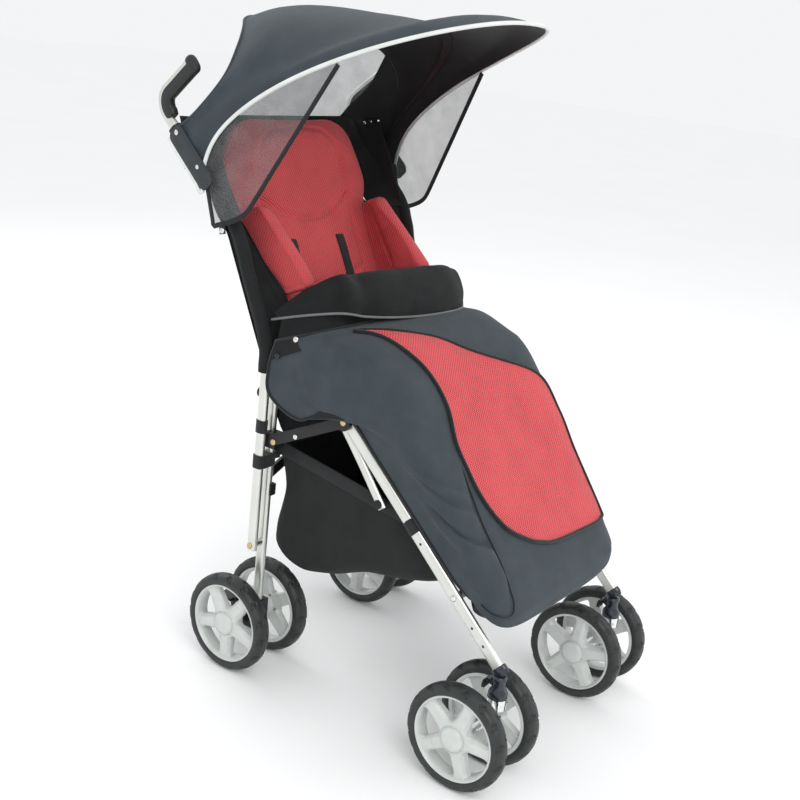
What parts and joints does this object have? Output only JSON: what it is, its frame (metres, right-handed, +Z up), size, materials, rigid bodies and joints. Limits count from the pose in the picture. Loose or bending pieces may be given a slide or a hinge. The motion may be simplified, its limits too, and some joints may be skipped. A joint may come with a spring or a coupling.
{
  "type": "special needs buggy",
  "caption": "Umbrella-fold special needs buggy with a reclined padded sling seat, canopy, leg cover, basket and double swivel front wheels",
  "frame": {"origin": "on the floor, under the middle of the overall length, on the middle plane", "axes": "+Z up; the buggy faces -Y; its left side is +X"},
  "size_m": [0.57, 0.8641, 1.229],
  "materials": {
    "frame_aluminium": "satin anodised",
    "chrome": "polished",
    "dark_metal": "black powder coat",
    "black_plastic": "fine grain",
    "grip_rubber": "matt",
    "tyre_rubber": "matt",
    "rim_silver": "silver",
    "slate_fabric": "fine weave",
    "black_fabric": "fine weave",
    "red_mesh": "spacer mesh",
    "window_mesh": "open mesh"
  },
  "bodies": {
    "hub": {"brace_pivot": "chrome"},
    "brace_front": {"brace_bar_front": "dark_metal"},
    "brace_rear": {"brace_bar_rear": "dark_metal"},
    "slider_left": {"slider_left": "black_plastic"},
    "left_side": {"push_tube_left": "frame_aluminium", "handle_grip_left": "grip_rubber", "rear_leg_left": "frame_aluminium", "seat_rail_left": "dark_metal", "rear_housing_left": "black_plastic", "canopy_clamp_left": "black_plastic", "tube_sleeve_left": "black_fabric", "seat_sling": "black_fabric", "seat_cushion": "red_mesh", "back_cushion": "red_mesh", "head_cushion": "red_mesh", "side_bolsters": "red_mesh", "harness": "black_fabric", "basket": "black_fabric"},
    "left_front_leg": {"front_leg_left": "frame_aluminium", "caster_head_left": "black_plastic", "footmuff_shell": "slate_fabric", "footmuff_panel": "red_mesh", "footmuff_flap": "black_fabric"},
    "left_footrest": {"footrest_left": "black_plastic"},
    "left_caster": {"caster_fork_left": "chrome"},
    "left_swivel_lock": {"swivel_lock_left": "black_plastic"},
    "left_brake": {"brake_pedal_left": "black_plastic"},
    "rear_left_outer_wheel": {"rear_left_outer_tyre": "tyre_rubber", "rear_left_outer_rim": "rim_silver"},
    "rear_left_inner_wheel": {"rear_left_inner_tyre": "tyre_rubber", "rear_left_inner_rim": "rim_silver"},
    "front_left_outer_wheel": {"front_left_outer_tyre": "tyre_rubber", "front_left_outer_rim": "rim_silver"},
    "front_left_inner_wheel": {"front_left_inner_tyre": "tyre_rubber", "front_left_inner_rim": "rim_silver"},
    "slider_right": {"slider_right": "black_plastic"},
    "right_side": {"push_tube_right": "frame_aluminium", "handle_grip_right": "grip_rubber", "rear_leg_right": "frame_aluminium", "seat_rail_right": "dark_metal", "rear_housing_right": "black_plastic", "canopy_clamp_right": "black_plastic", "tube_sleeve_right": "black_fabric"},
    "right_front_leg": {"front_leg_right": "frame_aluminium", "caster_head_right": "black_plastic"},
    "right_footrest": {"footrest_right": "black_plastic"},
    "right_caster": {"caster_fork_right": "chrome"},
    "right_swivel_lock": {"swivel_lock_right": "black_plastic"},
    "right_brake": {"brake_pedal_right": "black_plastic"},
    "rear_right_outer_wheel": {"rear_right_outer_tyre": "tyre_rubber", "rear_right_outer_rim": "rim_silver"},
    "rear_right_inner_wheel": {"rear_right_inner_tyre": "tyre_rubber", "rear_right_inner_rim": "rim_silver"},
    "front_right_outer_wheel": {"front_right_outer_tyre": "tyre_rubber", "front_right_outer_rim": "rim_silver"},
    "front_right_inner_wheel": {"front_right_inner_tyre": "tyre_rubber", "front_right_inner_rim": "rim_silver"},
    "canopy": {"canopy_shell": "slate_fabric", "canopy_bow": "black_plastic", "canopy_windows": "window_mesh"}
  },
  "joints": [
    {"name": "fold", "type": "hinge", "parent": "hub", "child": "brace_front", "pos_m": [0, 0.18692, 0.45], "axis": [0, -1, 0], "range_deg": [0, 37.5], "deforming": ["seat_sling", "seat_cushion", "back_cushion", "head_cushion", "side_bolsters", "harness", "basket", "footmuff_shell", "footmuff_panel", "footmuff_flap", "canopy_shell", "canopy_bow", "canopy_windows"]},
    {"name": "fold_rear_bar", "type": "hinge", "parent": "hub", "child": "brace_rear", "pos_m": [0, 0.18692, 0.45], "axis": [0, 1, 0], "range_deg": [0, 37.5]},
    {"name": "fold_left_side", "type": "hinge", "parent": "brace_front", "child": "left_side", "pos_m": [0.203, 0.18692, 0.54], "axis": [0, 1, 0], "range_deg": [0, 37.5]},
    {"name": "fold_left_slider", "type": "hinge", "parent": "brace_rear", "child": "slider_left", "pos_m": [0.203, 0.18692, 0.36], "axis": [0, -1, 0], "range_deg": [0, 37.5]},
    {"name": "fold_left_leg", "type": "hinge", "parent": "left_side", "child": "left_front_leg", "pos_m": [0.2075, -0.00808, 0.543], "axis": [1, 0, 0], "range_deg": [0, 30]},
    {"name": "fold_left_footrest", "type": "hinge", "parent": "left_front_leg", "child": "left_footrest", "pos_m": [0.165, -0.26914, 0.3069], "axis": [0, 1, 0], "range_deg": [0, 80]},
    {"name": "left_swivel", "type": "hinge", "parent": "left_front_leg", "child": "left_caster", "pos_m": [0.2075, -0.37408, 0.18], "axis": [0, 0, 1], "continuous": true},
    {"name": "left_swivel_lock_lever", "type": "hinge", "parent": "left_front_leg", "child": "left_swivel_lock", "pos_m": [0.2075, -0.35208, 0.187], "axis": [1, 0, 0], "range_deg": [0, 30]},
    {"name": "left_brake_pedal", "type": "hinge", "parent": "left_side", "child": "left_brake", "pos_m": [0.203, 0.21692, 0.112], "axis": [-1, 0, 0], "range_deg": [0, 20]},
    {"name": "rear_left_outer_roll", "type": "hinge", "parent": "left_side", "child": "rear_left_outer_wheel", "pos_m": [0.2575, 0.18692, 0.095], "axis": [1, 0, 0], "continuous": true},
    {"name": "front_left_outer_roll", "type": "hinge", "parent": "left_caster", "child": "front_left_outer_wheel", "pos_m": [0.259, -0.33708, 0.095], "axis": [1, 0, 0], "continuous": true},
    {"name": "rear_left_inner_roll", "type": "hinge", "parent": "left_side", "child": "rear_left_inner_wheel", "pos_m": [0.1485, 0.18692, 0.095], "axis": [1, 0, 0], "continuous": true},
    {"name": "front_left_inner_roll", "type": "hinge", "parent": "left_caster", "child": "front_left_inner_wheel", "pos_m": [0.156, -0.33708, 0.095], "axis": [1, 0, 0], "continuous": true},
    {"name": "fold_right_side", "type": "hinge", "parent": "brace_rear", "child": "right_side", "pos_m": [-0.203, 0.18692, 0.54], "axis": [0, -1, 0], "range_deg": [0, 37.5]},
    {"name": "fold_right_slider", "type": "hinge", "parent": "brace_front", "child": "slider_right", "pos_m": [-0.203, 0.18692, 0.36], "axis": [0, 1, 0], "range_deg": [0, 37.5]},
    {"name": "fold_right_leg", "type": "hinge", "parent": "right_side", "child": "right_front_leg", "pos_m": [-0.2075, -0.00808, 0.543], "axis": [1, 0, 0], "range_deg": [0, 30]},
    {"name": "fold_right_footrest", "type": "hinge", "parent": "right_front_leg", "child": "right_footrest", "pos_m": [-0.165, -0.26914, 0.3069], "axis": [0, -1, 0], "range_deg": [0, 80]},
    {"name": "right_swivel", "type": "hinge", "parent": "right_front_leg", "child": "right_caster", "pos_m": [-0.2075, -0.37408, 0.18], "axis": [0, 0, 1], "continuous": true},
    {"name": "right_swivel_lock_lever", "type": "hinge", "parent": "right_front_leg", "child": "right_swivel_lock", "pos_m": [-0.2075, -0.35208, 0.187], "axis": [1, 0, 0], "range_deg": [0, 30]},
    {"name": "right_brake_pedal", "type": "hinge", "parent": "right_side", "child": "right_brake", "pos_m": [-0.203, 0.21692, 0.112], "axis": [-1, 0, 0], "range_deg": [0, 20]},
    {"name": "rear_right_outer_roll", "type": "hinge", "parent": "right_side", "child": "rear_right_outer_wheel", "pos_m": [-0.2575, 0.18692, 0.095], "axis": [1, 0, 0], "continuous": true},
    {"name": "front_right_outer_roll", "type": "hinge", "parent": "right_caster", "child": "front_right_outer_wheel", "pos_m": [-0.259, -0.33708, 0.095], "axis": [1, 0, 0], "continuous": true},
    {"name": "rear_right_inner_roll", "type": "hinge", "parent": "right_side", "child": "rear_right_inner_wheel", "pos_m": [-0.1485, 0.18692, 0.095], "axis": [1, 0, 0], "continuous": true},
    {"name": "front_right_inner_roll", "type": "hinge", "parent": "right_caster", "child": "front_right_inner_wheel", "pos_m": [-0.156, -0.33708, 0.095], "axis": [1, 0, 0], "continuous": true},
    {"name": "canopy_tilt", "type": "hinge", "parent": "left_side", "child": "canopy", "pos_m": [0, 0.35757, 0.9519], "axis": [1, 0, 0], "range_deg": [0, 25]}
  ],
  "couplings": [
    {"joint": "fold_rear_bar", "follows": "fold", "ratio": 1},
    {"joint": "fold_left_side", "follows": "fold", "ratio": 1},
    {"joint": "fold_left_slider", "follows": "fold", "ratio": 1},
    {"joint": "fold_left_leg", "follows": "fold", "ratio": 0.8},
    {"joint": "fold_left_footrest", "follows": "fold", "ratio": 2.1333},
    {"joint": "fold_right_side", "follows": "fold", "ratio": 1},
    {"joint": "fold_right_slider", "follows": "fold", "ratio": 1},
    {"joint": "fold_right_leg", "follows": "fold", "ratio": 0.8},
    {"joint": "fold_right_footrest", "follows": "fold", "ratio": 2.1333}
  ]
}
